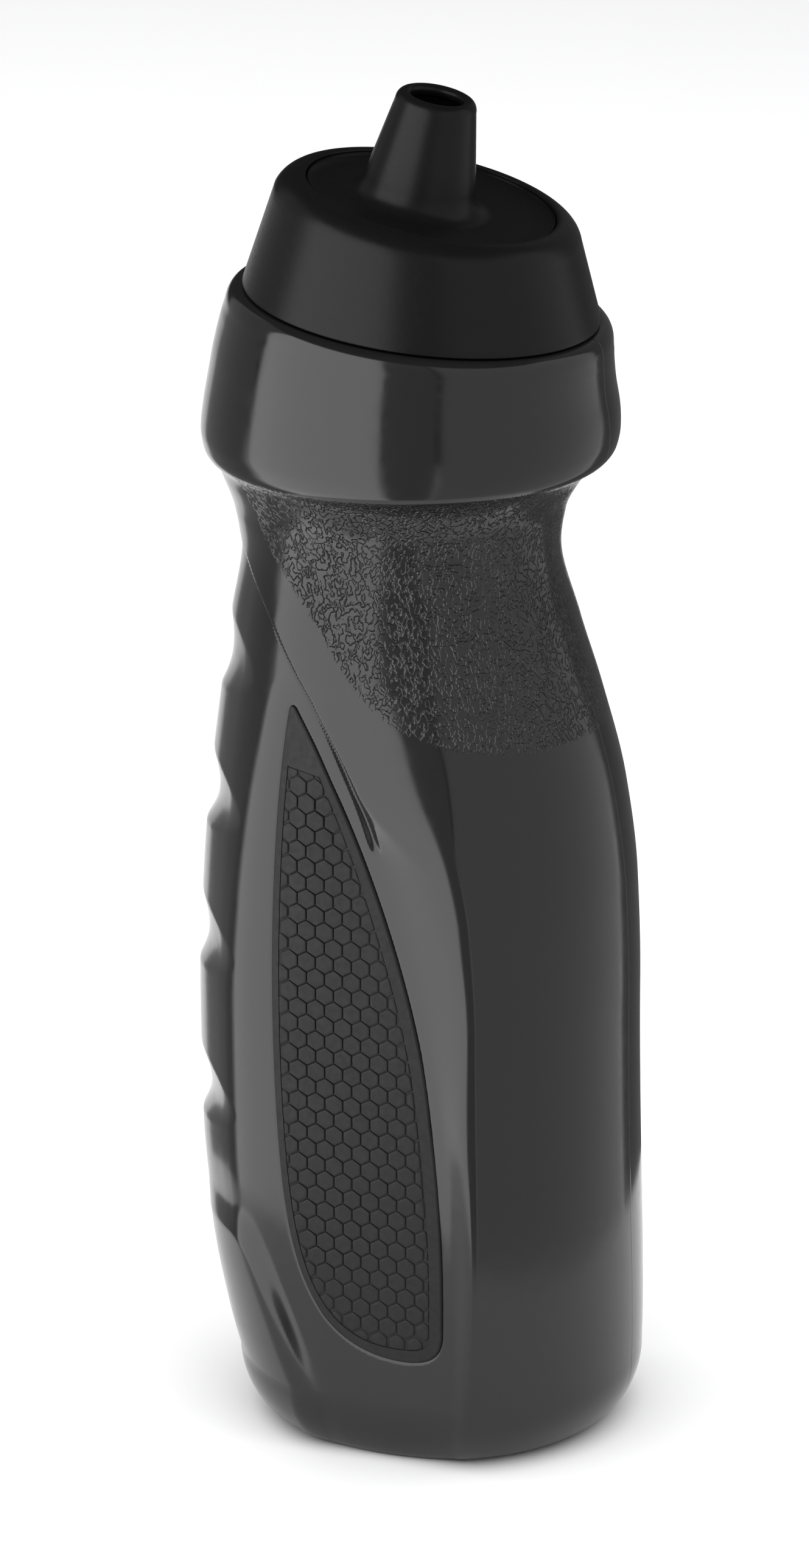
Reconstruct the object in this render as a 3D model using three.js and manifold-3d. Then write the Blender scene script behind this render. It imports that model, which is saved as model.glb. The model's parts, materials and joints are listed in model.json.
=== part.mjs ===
// Sports squeeze bottle in millimetres, +Z up and the waisted front towards +X.
// A blow-moulded body carries two inlaid grip pads, and a screw lid carries the spout and its valve.
import * as THREE from 'three';
import { mergeVertices } from 'three/addons/utils/BufferGeometryUtils.js';
import Module from 'manifold-3d';

const wasm = await Module();
wasm.setup();

const DEG = Math.PI / 180;
const FULL_TURN = 2 * Math.PI;
const GAP = 0.3;                    // clearance kept between neighbouring pieces

// Body: centre and radius of the round section at each height, [height, centre x, radius]
const SECTIONS = [
  [8, 0.4, 36.2], [20, -1.2, 37.9], [35, -2.8, 39.2], [55, -4.1, 39.9], [82, -4.5, 39.9],
  [103, -4.4, 39.1], [120, -4.8, 37.3], [137, -6.0, 34.1], [150, -7.2, 31.2], [164, -8.0, 28.4],
  [171, -8.1, 29.4], [176.5, -7.7, 31.7], [179.8, -6.9, 33.9], [181.2, -6.5, 35.8],
  [182.8, -6.3, 36.6], [185.5, -6.2, 37.0], [196, -5.6, 35.7], [203, -4.8, 34.6],
];
const BODY_SEGMENTS = 48;
const CAVITY_SEGMENTS = 36;
const ROW_STEP = 6.5;
const WAIST_TOP = 172;
const COLLAR_ROWS = [176.5, 179.8, 181.2, 182.8, 185.5, 190.5, 196, 202];
const WALL = 1.2;

// Base: a flat contact ring, a rounded heel and a push-up
const HEEL_HEIGHT = 12;
const HEEL_STEPS = [0, 22, 44, 66];  // degrees round the heel
const CONTACT_OUTER = 27.5;
const CONTACT_INNER = 22;
const PUSH_UP = [[8, 3.9], [16, 3.2], [20.5, 1.0]];
const PUSH_UP_TOP = 4;
const BASE_X = 0;

// Grip panel: a flat recess on each side that runs round the back under the fingers
const PANEL_FLAT = 32;              // distance of the flat from the middle plane
const PANEL_RIM = 1.4;              // how far the recess lies below its rim
const PANEL_DEPTH = 1.3;            // how far the finger area lies below the shoulder
const COLLAR_CLEAR = 12;            // the flats spread by this much before they reach the collar
const LEDGE_SLOPE_BACK = 0.5;
const LEDGE_SLOPE_FRONT = 0.22;
const LEDGE_LOW = 8;
const LEDGE_RISE = 36;
const STEP_END = 118.7;             // height at which the upper step line fades out
const STEP_END_X = -2.6;

// Finger grooves on the back: [height, depth]
const GROOVES = [[143, 1.4], [117.5, 2.1], [91, 1.8], [62, 2.1]];
const GROOVE_ABOVE = 8.5;           // reach above and below the middle
const GROOVE_BELOW = 6.5;
const GROOVE_HALF_SPAN = 50;        // degrees each way from the middle of the back

// Grip pads
const PAD_SINK = 1.5;
const PAD_PROUD = 0.3;
const PAD_SIDE_GAP = 0.3;
const POCKET_DEPTH = PAD_SINK + GAP;
const PAD_BACKING = 1.6;            // body wall left under a pad

// Neck: its axis leans forward through the centre of the seam below the lid
const SEAM = new THREE.Vector3(-4.16, 0, 208.07);
const NECK_TILT = 6.72;
const SHOULDER = [[-4.2, 34.35], [-2.2, 34.1], [-0.9, 33.4], [-GAP, 32.4]];
const LEDGE_THICKNESS = 1.7;
const NECK_RADIUS = 23;
const NECK_BORE = 20.8;
const NECK_TOP = 10.5;
const ROUND_SEGMENTS = 40;

// Thread, right-handed and single-start
const LEAD = 4.5;
const THREAD_START = 2.4;
const THREAD_TURNS = 1.33;
const THREAD_ROOT_WIDTH = 2.3;
const THREAD_CREST_WIDTH = 0.9;
const THREAD_CREST = 24.4;
const THREAD_STEPS_PER_TURN = 24;

// Lid, around the neck axis with the seam at height 0; its rim leans further forward
const LID_SEAM_RADIUS = 31.7;
const LID_SKIRT = 1.8;
const LID_BORE = 24.8;
const LID_THREAD_CREST = 23.5;
const INNER_SKIRT = 26.2;
const INNER_SKIRT_FOOT = 1;
const SKIRT_GAP_TOP = 11;
const LID_CEILING = 12.3;
const RIM_OFFSET = new THREE.Vector3(-0.35, 0, 19.13);
const RIM_TILT = 4.86;
const RIM_RADIUS = 22.6;
const LID_SHOULDER = 5;
const INSERT_POCKET = 22.3;
const INSERT_POCKET_FLOOR = -3.4;
const LID_PORT = 16.5;

// Spout insert: a dished disc with an off-centre nozzle, in the rim's frame
const DISH_RADIUS = 22;
const DISH_FLOOR = -1.8;
const DISH_UNDERSIDE = -3.1;
const DISH_BLEND = 4.5;
const SPOUT_X = -2.6;
const SPOUT_TOP = 17.9;
const SPOUT_FOOT_RADIUS = 10.6;
const SPOUT_TIP_RADIUS = 7.2;
const SPOUT_HOLE = 4.7;
const SPOUT_COLLAR = 10.8;
const SPOUT_COLLAR_FOOT = -6.2;
const VALVE_SEAT = -2.5;
const VALVE_SEAT_RADIUS = 9.3;

// Slit valve and its retainer
const VALVE_OUTER = 9;
const VALVE_INNER = 5.6;
const VALVE_TOP = -2.8;
const VALVE_BOTTOM = -4;
const PETAL_RADIUS = 5.2;
const PETAL_COUNT = 4;
const PETAL_TOP = -3.05;
const PETAL_THICKNESS = 0.7;
const SLIT = 0.3;
const RETAINER_INNER = 6.6;
const RETAINER_BOTTOM = -5.9;

// Gasket between the neck and the lid's ceiling
const GASKET_INNER = 20.9;
const GASKET_OUTER = 24.3;

// ---------- solids ----------

function signedVolume(geometry) {
  const p = geometry.getAttribute('position');
  const index = geometry.getIndex();
  const [a, b, c] = [new THREE.Vector3(), new THREE.Vector3(), new THREE.Vector3()];
  let volume = 0;
  for (let i = 0; i < index.count; i += 3) {
    a.fromBufferAttribute(p, index.getX(i));
    b.fromBufferAttribute(p, index.getX(i + 1));
    c.fromBufferAttribute(p, index.getX(i + 2));
    volume += a.dot(b.cross(c)) / 6;
  }
  return volume;
}

function toSolid(geometry) {
  geometry.deleteAttribute('normal');
  geometry.deleteAttribute('uv');
  const merged = mergeVertices(geometry, 1e-5);
  const triVerts = Uint32Array.from(merged.getIndex().array);
  if (signedVolume(merged) < 0) {
    triVerts.reverse();
  }
  const vertProperties = Float32Array.from(merged.getAttribute('position').array);
  return new wasm.Manifold(new wasm.Mesh({ numProp: 3, vertProperties, triVerts }));
}

function toGeometry(solid) {
  const mesh = solid.getMesh();
  const geometry = new THREE.BufferGeometry();
  geometry.setAttribute('position', new THREE.BufferAttribute(Float32Array.from(mesh.vertProperties), 3));
  geometry.setIndex(new THREE.BufferAttribute(Uint32Array.from(mesh.triVerts), 1));
  geometry.computeVertexNormals();
  return geometry;
}

// Joins rings of points, listed from the bottom up, and closes both ends on a pole.
function loft(rings, bottomPole, topPole) {
  const count = rings[0].length;
  const points = [...rings.flat(), bottomPole, topPole];
  const bottom = points.length - 2;
  const top = points.length - 1;
  const last = (rings.length - 1) * count;
  const index = [];
  for (let j = 0; j < count; j += 1) {
    const next = (j + 1) % count;
    index.push(bottom, next, j, top, last + j, last + next);
    for (let i = 0; i < rings.length - 1; i += 1) {
      const low = i * count;
      const high = low + count;
      index.push(low + j, low + next, high + next, low + j, high + next, high + j);
    }
  }
  const geometry = new THREE.BufferGeometry().setFromPoints(points);
  geometry.setIndex(index);
  return toSolid(geometry);
}

// A solid of revolution about +Z from a closed outline of [radius, height] points.
function lathe(outline, matrix) {
  const points = [...outline, outline[0]].map(([r, h]) => new THREE.Vector2(r, h));
  const geometry = new THREE.LatheGeometry(points, ROUND_SEGMENTS).toNonIndexed();
  geometry.rotateX(Math.PI / 2);
  geometry.applyMatrix4(matrix);
  return toSolid(withoutSlivers(geometry));
}

// Drops the triangles that collapse where an outline touches the axis.
function withoutSlivers(geometry) {
  const p = geometry.getAttribute('position');
  const kept = [];
  const [a, b, c] = [new THREE.Vector3(), new THREE.Vector3(), new THREE.Vector3()];
  for (let i = 0; i < p.count; i += 3) {
    a.fromBufferAttribute(p, i);
    b.fromBufferAttribute(p, i + 1);
    c.fromBufferAttribute(p, i + 2);
    const area = b.clone().sub(a).cross(c.clone().sub(a)).length();
    if (area > 1e-6) {
      kept.push(a.clone(), b.clone(), c.clone());
    }
  }
  return new THREE.BufferGeometry().setFromPoints(kept);
}

// A trapezoid ridge that climbs round an axis, tapering away at both ends.
function helixRidge(root, crest, startHeight, fromTurn, toTurn, matrix) {
  const steps = Math.round((toTurn - fromTurn) * THREAD_STEPS_PER_TURN);
  const points = [];
  const index = [];
  for (let i = 0; i <= steps; i += 1) {
    const turn = fromTurn + (toTurn - fromTurn) * i / steps;
    const fade = Math.min(1, 0.15 + i / 4, 0.15 + (steps - i) / 4);
    const height = startHeight + turn * LEAD;
    const section = [
      [root, -THREAD_ROOT_WIDTH / 2], [root + (crest - root) * fade, -THREAD_CREST_WIDTH / 2],
      [root + (crest - root) * fade, THREAD_CREST_WIDTH / 2], [root, THREAD_ROOT_WIDTH / 2],
    ];
    for (const [radius, rise] of section) {
      const angle = turn * FULL_TURN;
      points.push(new THREE.Vector3(radius * Math.cos(angle), radius * Math.sin(angle), height + rise));
    }
  }
  for (let i = 0; i < steps; i += 1) {
    for (let j = 0; j < 4; j += 1) {
      const a = i * 4 + j;
      const b = i * 4 + (j + 1) % 4;
      index.push(a, a + 4, b + 4, a, b + 4, b);
    }
  }
  const end = steps * 4;
  index.push(0, 1, 2, 0, 2, 3, end, end + 2, end + 1, end, end + 3, end + 2);
  const geometry = new THREE.BufferGeometry().setFromPoints(points);
  geometry.setIndex(index);
  geometry.applyMatrix4(matrix);
  return toSolid(geometry);
}

// ---------- frames ----------

const neckFrame = new THREE.Matrix4()
  .makeTranslation(SEAM.x, SEAM.y, SEAM.z)
  .multiply(new THREE.Matrix4().makeRotationY(NECK_TILT * DEG));
const rimFrame = neckFrame.clone()
  .multiply(new THREE.Matrix4().makeTranslation(RIM_OFFSET.x, RIM_OFFSET.y, RIM_OFFSET.z))
  .multiply(new THREE.Matrix4().makeRotationY(RIM_TILT * DEG));
const spoutFrame = rimFrame.clone()
  .multiply(new THREE.Matrix4().makeTranslation(SPOUT_X, 0, 0));

function ringIn(matrix, radius, height, segments) {
  const ring = [];
  for (let j = 0; j < segments; j += 1) {
    const angle = j / segments * FULL_TURN;
    const point = new THREE.Vector3(radius * Math.cos(angle), radius * Math.sin(angle), height);
    ring.push(point.applyMatrix4(matrix));
  }
  return ring;
}

function axisPoint(matrix, height) {
  return new THREE.Vector3(0, 0, height).applyMatrix4(matrix);
}

// ---------- body surface ----------

const clamp01 = (t) => Math.min(1, Math.max(0, t));
const mix = (a, b, t) => a + (b - a) * t;

function smoothStep(from, to, value) {
  const t = clamp01((value - from) / (to - from));
  return t * t * (3 - 2 * t);
}

function smoothMin(a, b, blend) {
  const near = Math.max(blend - Math.abs(a - b), 0) / blend;
  return Math.min(a, b) - near * near * blend / 4;
}

// Monotone cubic through one column of SECTIONS
function sectionValue(height, column) {
  const slope = (i) => {
    const [low, high] = [SECTIONS[i], SECTIONS[i + 1]];
    return (high[column] - low[column]) / (high[0] - low[0]);
  };
  const tangent = (i) => {
    if (i === 0 || i === SECTIONS.length - 1) {
      return slope(Math.min(i, SECTIONS.length - 2));
    }
    const [before, after] = [slope(i - 1), slope(i)];
    return before * after > 0 ? 2 * before * after / (before + after) : 0;
  };
  let i = 0;
  while (i < SECTIONS.length - 2 && height > SECTIONS[i + 1][0]) {
    i += 1;
  }
  const width = SECTIONS[i + 1][0] - SECTIONS[i][0];
  const t = (height - SECTIONS[i][0]) / width;
  const rise = SECTIONS[i + 1][column] - SECTIONS[i][column];
  const bend = (tangent(i) * width - rise) * (1 - t) - (tangent(i + 1) * width - rise) * t;
  return SECTIONS[i][column] + rise * t + t * (1 - t) * bend;
}

// Front foot of the recess: beside the pad low down, and along the step line higher up
function recessFoot(height) {
  if (height > STEP_END) {
    const up = height - STEP_END;
    return STEP_END_X - 0.314 * up - 0.0079 * up * up;
  }
  const t = clamp01((height - 30) / (STEP_END - 30));
  return 13.2 + (STEP_END_X - 13.2) * t ** 2.17;
}

function recessWall(height) {
  const cove = 3.9 + 6.4 * smoothStep(60, 100, height);
  const step = mix(2.0, 0.8, clamp01((height - 120) / 35));
  return mix(cove, step, smoothStep(112, 128, height));
}

// Radius of the outer surface about its section centre, angle measured from the front
function bodyRadius(angle, height) {
  const round = sectionValue(height, 2);
  const centre = sectionValue(height, 1);
  const turn = Math.abs(Math.atan2(Math.sin(angle), Math.cos(angle))) / DEG;
  const sine = Math.max(Math.sin(turn * DEG), 0.05);
  const x = centre + Math.min(round, PANEL_FLAT / sine) * Math.cos(turn * DEG);
  const wall = clamp01((x - recessFoot(height)) / recessWall(height));
  const crisp = smoothStep(121, 133, height);
  const inside = 1 - wall * wall * mix(3 - 2 * wall, 1, crisp);
  const crease = LEDGE_LOW + LEDGE_RISE * smoothStep(-4, -31, x);
  const soft = 7 - 5.5 * smoothStep(-4, -20, x);
  const below = (crease - height + Math.hypot(crease - height, soft)) / 2;
  const fade = COLLAR_CLEAR * smoothStep(142, 165, height);
  const slope = mix(LEDGE_SLOPE_BACK, LEDGE_SLOPE_FRONT, smoothStep(-24, -6, x));
  const flat = PANEL_FLAT + PANEL_RIM * (1 - inside) + slope * below + fade;
  const back = smoothStep(170, 140, turn);
  const finger = PANEL_DEPTH * inside * clamp01(1 - below / 5) * back;
  const sharp = mix(1.0 + 3 * smoothStep(115, 137, height), 6, smoothStep(95, 115, turn));
  const blend = Math.max(sharp, 6 * smoothStep(3, 9, below));
  let radius = smoothMin(round - finger, flat / sine, blend);
  for (const [middle, depth] of GROOVES) {
    const across = (180 - turn) / GROOVE_HALF_SPAN;
    const along = (height - middle) / (height > middle ? GROOVE_ABOVE : GROOVE_BELOW);
    radius -= depth * Math.max(0, 1 - across * across - along * along) ** 1.15;
  }
  return radius;
}

function sectionFrame(height) {
  const tilt = NECK_TILT * smoothStep(187, 203, height);
  return new THREE.Matrix4()
    .makeTranslation(sectionValue(height, 1), 0, height)
    .multiply(new THREE.Matrix4().makeRotationY(tilt * DEG));
}

function sectionRing(height, radiusAt, segments) {
  const frame = sectionFrame(height);
  const ring = [];
  for (let j = 0; j < segments; j += 1) {
    const angle = j / segments * FULL_TURN;
    const radius = radiusAt(angle, height);
    ring.push(new THREE.Vector3(radius * Math.cos(angle), radius * Math.sin(angle), 0).applyMatrix4(frame));
  }
  return ring;
}

// Inside of the wall, which stands further in behind a pad's pocket
function cavityRadius(angle, height) {
  const turn = Math.abs(Math.atan2(Math.sin(angle), Math.cos(angle))) / DEG;
  const behindPad = POCKET_DEPTH + PAD_BACKING;
  const flatLimit = (PANEL_FLAT - behindPad) / Math.max(Math.abs(Math.sin(angle)), 0.05);
  const tipHeight = smoothStep(112, 122, height) * smoothStep(152, 146, height);
  const nearTip = tipHeight * smoothStep(34, 22, Math.abs(turn - 103));
  const wall = mix(WALL, behindPad, nearTip);
  return smoothMin(bodyRadius(angle, height) - wall, flatLimit, 2);
}

function baseRing(radius, height, segments) {
  return ringIn(new THREE.Matrix4().makeTranslation(BASE_X, 0, 0), radius, height, segments);
}

// Rings from the flat contact ring up to the section at the top of the heel
function heelRings(contact, floor, radiusAt, segments) {
  const centre = sectionValue(HEEL_HEIGHT, 1);
  return HEEL_STEPS.map((degrees) => {
    const out = Math.sin(degrees * DEG);
    const height = mix(HEEL_HEIGHT, floor, Math.cos(degrees * DEG));
    const ring = [];
    for (let j = 0; j < segments; j += 1) {
      const angle = j / segments * FULL_TURN;
      const radius = mix(contact, radiusAt(angle, HEEL_HEIGHT), out);
      const x = mix(BASE_X, centre, out) + radius * Math.cos(angle);
      ring.push(new THREE.Vector3(x, radius * Math.sin(angle), height));
    }
    return ring;
  });
}

// Outer skin grown or shrunk by an offset, from the base to the ledge below the lid
function outerSkin(offset) {
  const rings = PUSH_UP.map(([radius, height]) => baseRing(radius, height - offset, BODY_SEGMENTS));
  rings.push(baseRing(CONTACT_INNER, -offset, BODY_SEGMENTS));
  const skinRadius = (angle, height) => bodyRadius(angle, height) + offset;
  rings.push(...heelRings(CONTACT_OUTER, -offset, skinRadius, BODY_SEGMENTS));
  for (let height = HEEL_HEIGHT; height < WAIST_TOP; height += ROW_STEP) {
    rings.push(sectionRing(height, skinRadius, BODY_SEGMENTS));
  }
  for (const height of COLLAR_ROWS) {
    rings.push(sectionRing(height, skinRadius, BODY_SEGMENTS));
  }
  for (const [height, radius] of SHOULDER) {
    rings.push(ringIn(neckFrame, radius + offset, height + offset, BODY_SEGMENTS));
  }
  const bottom = new THREE.Vector3(BASE_X, 0, PUSH_UP_TOP - offset);
  return loft(rings, bottom, axisPoint(neckFrame, -GAP + offset));
}

function cavity() {
  const segments = CAVITY_SEGMENTS;
  const floor = WALL + 0.4;
  const rings = PUSH_UP.map(([radius, height]) => baseRing(radius, height + floor, segments));
  rings.push(...heelRings(CONTACT_OUTER - 2, floor, cavityRadius, segments));
  for (let height = HEEL_HEIGHT; height < 200; height += 8) {
    rings.push(sectionRing(height, cavityRadius, segments));
  }
  const under = -GAP - LEDGE_THICKNESS;
  rings.push(ringIn(neckFrame, 32.4, under - 3, segments));
  rings.push(ringIn(neckFrame, 30.5, under - 0.8, segments));
  rings.push(ringIn(neckFrame, 28, under, segments));
  const bottom = new THREE.Vector3(BASE_X, 0, PUSH_UP_TOP + floor);
  return loft(rings, bottom, axisPoint(neckFrame, under));
}

// ---------- grip pads ----------

// Leaf outline seen from the side, [x, height], as cubic curves
const PAD_START = [-18.4, 140.2];
const PAD_CURVES = [
  [[-20.2, 128], [-21.1, 106], [-21.1, 92]],
  [[-21.1, 74], [-20.2, 50], [-17, 39]],
  [[-14.2, 29], [-8.5, 21.2], [2, 20.3]],
  [[8.5, 19.8], [11.7, 21.5], [11.7, 26.5]],
  [[11.8, 40], [11.2, 54], [9.4, 66.5]],
  [[7.8, 89.5], [-5.6, 126.5], [-16.4, 140.4]],
  [[-17.1, 141.5], [-18.2, 141.5], PAD_START],
];

function padOutline(grow) {
  const shape = new THREE.Shape();
  shape.moveTo(...PAD_START);
  for (const [first, second, end] of PAD_CURVES) {
    shape.bezierCurveTo(...first, ...second, ...end);
  }
  const points = shape.getPoints(5).slice(0, -1);
  return points.map((point, i) => {
    const before = points[(i + points.length - 1) % points.length];
    const after = points[(i + 1) % points.length];
    const along = after.clone().sub(before).normalize();
    return new THREE.Vector2(point.x - along.y * grow, point.y + along.x * grow);
  });
}

function padPrism(grow, side) {
  const outline = padOutline(-grow);
  const geometry = new THREE.ExtrudeGeometry(new THREE.Shape(outline), { depth: 14, bevelEnabled: false });
  geometry.rotateX(Math.PI / 2);
  geometry.translate(0, -24, 0);
  geometry.scale(1, -side, 1);
  return toSolid(geometry);
}

const skinAtPocketFloor = outerSkin(-POCKET_DEPTH);
const skinAtPadFloor = outerSkin(-PAD_SINK);
const skinAtPadFace = outerSkin(PAD_PROUD);

function gripPad(side) {
  return padPrism(0, side).intersect(skinAtPadFace).subtract(skinAtPadFloor);
}

function padPocket(side) {
  return padPrism(PAD_SIDE_GAP, side).subtract(skinAtPocketFloor);
}

// ---------- bottle body ----------

function neckTube() {
  return lathe([
    [NECK_BORE - 0.5, -GAP - LEDGE_THICKNESS / 2], [NECK_RADIUS, -GAP - LEDGE_THICKNESS / 2],
    [NECK_RADIUS, NECK_TOP - 0.5], [NECK_RADIUS - 0.5, NECK_TOP],
    [NECK_BORE - 0.5, NECK_TOP],
  ], neckFrame);
}

function bottleBody() {
  const bore = lathe([[0, -8], [NECK_BORE, -8], [NECK_BORE, 40], [0, 40]], neckFrame);
  const thread = helixRidge(NECK_RADIUS - 0.4, THREAD_CREST, THREAD_START, 0, THREAD_TURNS, neckFrame);
  return outerSkin(0)
    .add(neckTube())
    .add(thread)
    .subtract(cavity())
    .subtract(bore)
    .subtract(padPocket(1))
    .subtract(padPocket(-1));
}

// ---------- lid ----------

function lidShell() {
  const segments = ROUND_SEGMENTS;
  const seam = ringIn(neckFrame, LID_SEAM_RADIUS, 0, segments);
  const shoulders = [];
  for (const degrees of [75, 60, 42, 22, 0]) {
    const radius = RIM_RADIUS + LID_SHOULDER * Math.sin(degrees * DEG);
    const height = -LID_SHOULDER * (1 - Math.cos(degrees * DEG));
    shoulders.push(ringIn(rimFrame, radius, height, segments));
  }
  const outside = loft([seam, ...shoulders], axisPoint(neckFrame, 0), axisPoint(rimFrame, 0));
  const bore = lathe([[0, -1], [LID_BORE, -1], [LID_BORE, LID_CEILING], [0, LID_CEILING]], neckFrame);
  const skirtGap = lathe([
    [INNER_SKIRT, -1], [LID_SEAM_RADIUS - LID_SKIRT + 0.3, -1], [LID_SEAM_RADIUS - LID_SKIRT, 0],
    [INNER_SKIRT + 0.4, SKIRT_GAP_TOP], [INNER_SKIRT, SKIRT_GAP_TOP],
  ], neckFrame);
  const foot = lathe([
    [LID_BORE - 1, -1], [INNER_SKIRT + 1, -1],
    [INNER_SKIRT + 1, INNER_SKIRT_FOOT], [LID_BORE - 1, INNER_SKIRT_FOOT],
  ], neckFrame);
  const pocket = lathe([
    [0, INSERT_POCKET_FLOOR], [INSERT_POCKET, INSERT_POCKET_FLOOR], [INSERT_POCKET, 2], [0, 2],
  ], rimFrame);
  const port = lathe([[0, -12], [LID_PORT, -12], [LID_PORT, 0], [0, 0]], rimFrame);
  const thread = helixRidge(
    LID_BORE + 0.4, LID_THREAD_CREST, THREAD_START - LEAD / 2, 0.36, 0.36 + THREAD_TURNS, neckFrame,
  );
  return outside.subtract(bore).subtract(skirtGap).subtract(foot).subtract(pocket).subtract(port).add(thread);
}

function spoutInsert() {
  const blend = [];
  for (const degrees of [90, 65, 40, 20, 0]) {
    blend.push([
      DISH_RADIUS - DISH_BLEND * (1 - Math.sin(degrees * DEG)),
      -0.35 - (-0.35 - DISH_FLOOR) * Math.cos(degrees * DEG),
    ]);
  }
  const underside = [[0, DISH_UNDERSIDE], [DISH_RADIUS, DISH_UNDERSIDE]];
  const dish = lathe([...underside, ...blend, [0, DISH_FLOOR]], rimFrame);
  const nozzle = lathe([
    [0, SPOUT_COLLAR_FOOT], [SPOUT_COLLAR, SPOUT_COLLAR_FOOT], [SPOUT_COLLAR, DISH_UNDERSIDE + 0.2],
    [SPOUT_FOOT_RADIUS + 3, DISH_UNDERSIDE + 0.2], [SPOUT_FOOT_RADIUS + 3, DISH_FLOOR],
    [SPOUT_FOOT_RADIUS + 1.4, DISH_FLOOR + 0.25], [SPOUT_FOOT_RADIUS + 0.3, DISH_FLOOR + 1.1],
    [SPOUT_FOOT_RADIUS - 0.5, DISH_FLOOR + 3], [SPOUT_TIP_RADIUS, SPOUT_TOP - 1.5],
    [SPOUT_TIP_RADIUS - 0.5, SPOUT_TOP - 0.5], [SPOUT_TIP_RADIUS - 1.3, SPOUT_TOP], [0, SPOUT_TOP],
  ], spoutFrame);
  const bore = lathe([
    [0, SPOUT_COLLAR_FOOT - 1], [VALVE_SEAT_RADIUS, SPOUT_COLLAR_FOOT - 1], [VALVE_SEAT_RADIUS, VALVE_SEAT],
    [6.5, VALVE_SEAT], [5.4, SPOUT_TOP - 1.8], [SPOUT_HOLE, SPOUT_TOP - 1.2], [SPOUT_HOLE, SPOUT_TOP - 0.4],
    [SPOUT_HOLE + 0.6, SPOUT_TOP + 0.1], [0, SPOUT_TOP + 0.1],
  ], spoutFrame);
  return dish.add(nozzle).subtract(bore);
}

function ring(inner, outer, bottom, top, frame) {
  return lathe([[inner, bottom], [outer, bottom], [outer, top], [inner, top]], frame);
}

function lidGasket() {
  return ring(GASKET_INNER, GASKET_OUTER, NECK_TOP + GAP, LID_CEILING - GAP, neckFrame);
}

function valveRing() {
  return ring(VALVE_INNER, VALVE_OUTER, VALVE_BOTTOM, VALVE_TOP, spoutFrame);
}

function valveRetainer() {
  return ring(RETAINER_INNER, VALVE_OUTER, RETAINER_BOTTOM, VALVE_BOTTOM - GAP, spoutFrame);
}

// One flap of the slit valve, drawn flat with its hinge line on the outer side
function valvePetal(number) {
  const half = 45 * DEG - SLIT / 2 / PETAL_RADIUS;
  const shape = new THREE.Shape();
  shape.moveTo(SLIT / 2 * Math.SQRT2, 0);
  shape.absarc(0, 0, PETAL_RADIUS, -half, half, false);
  const geometry = new THREE.ExtrudeGeometry(shape, {
    depth: PETAL_THICKNESS, bevelEnabled: false, curveSegments: 8,
  });
  geometry.translate(0, 0, PETAL_TOP - PETAL_THICKNESS);
  geometry.rotateZ((45 + 90 * number) * DEG);
  geometry.applyMatrix4(spoutFrame);
  return toSolid(geometry);
}

// ---------- assembly ----------

const finishes = {
  body: new THREE.MeshStandardMaterial({ color: 0x303032, roughness: 0.32, metalness: 0 }),
  pad: new THREE.MeshStandardMaterial({ color: 0x1b1b1c, roughness: 0.75, metalness: 0 }),
  lid: new THREE.MeshStandardMaterial({ color: 0x0c0c0d, roughness: 0.42, metalness: 0 }),
  seal: new THREE.MeshStandardMaterial({ color: 0x1c1c1e, roughness: 0.55, metalness: 0 }),
};

const group = new THREE.Group();

function place(name, solid, material) {
  const mesh = new THREE.Mesh(toGeometry(solid), material);
  mesh.name = name;
  group.add(mesh);
}

place('bottle_body', bottleBody(), finishes.body);
place('grip_pad_right', gripPad(1), finishes.pad);
place('grip_pad_left', gripPad(-1), finishes.pad);
place('lid_shell', lidShell(), finishes.lid);
place('spout_insert', spoutInsert(), finishes.lid);
place('lid_gasket', lidGasket(), finishes.seal);
place('valve_ring', valveRing(), finishes.seal);
for (let number = 0; number < PETAL_COUNT; number += 1) {
  place(`valve_petal_${number + 1}`, valvePetal(number), finishes.seal);
}
place('valve_retainer', valveRetainer(), finishes.lid);

// The origin is under the middle of the whole object's box.
const extent = new THREE.Box3().setFromObject(group);
group.position.set(-(extent.min.x + extent.max.x) / 2, 0, -extent.min.z);

export default group;
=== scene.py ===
"""Studio scene of the sports squeeze bottle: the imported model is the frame, and the visible pieces are
built here from the same shapes at full detail. Lengths are in millimetres until a mesh is written."""
import json
import math

import bpy
import numpy as np
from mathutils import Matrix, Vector
from mathutils.geometry import delaunay_2d_cdt


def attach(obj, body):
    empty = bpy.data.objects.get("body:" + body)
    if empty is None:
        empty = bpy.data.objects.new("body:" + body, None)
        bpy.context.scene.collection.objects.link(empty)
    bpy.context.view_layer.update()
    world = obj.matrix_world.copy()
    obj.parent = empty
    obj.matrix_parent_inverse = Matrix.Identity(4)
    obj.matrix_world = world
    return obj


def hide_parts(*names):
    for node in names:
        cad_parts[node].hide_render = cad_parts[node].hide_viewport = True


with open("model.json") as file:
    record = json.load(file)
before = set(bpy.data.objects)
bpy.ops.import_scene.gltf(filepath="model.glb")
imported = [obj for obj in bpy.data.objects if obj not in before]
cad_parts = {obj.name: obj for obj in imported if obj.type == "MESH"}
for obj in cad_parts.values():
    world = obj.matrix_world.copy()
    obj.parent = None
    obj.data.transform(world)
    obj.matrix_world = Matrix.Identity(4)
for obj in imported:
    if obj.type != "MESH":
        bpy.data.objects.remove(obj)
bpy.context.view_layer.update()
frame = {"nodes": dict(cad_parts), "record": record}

MM = 0.001
JOINTS = {joint["name"]: joint for joint in frame["record"]["behaviour"]["joints"]}

# ---------------------------------------------------------------- shape of the bottle, as in the CAD

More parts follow.
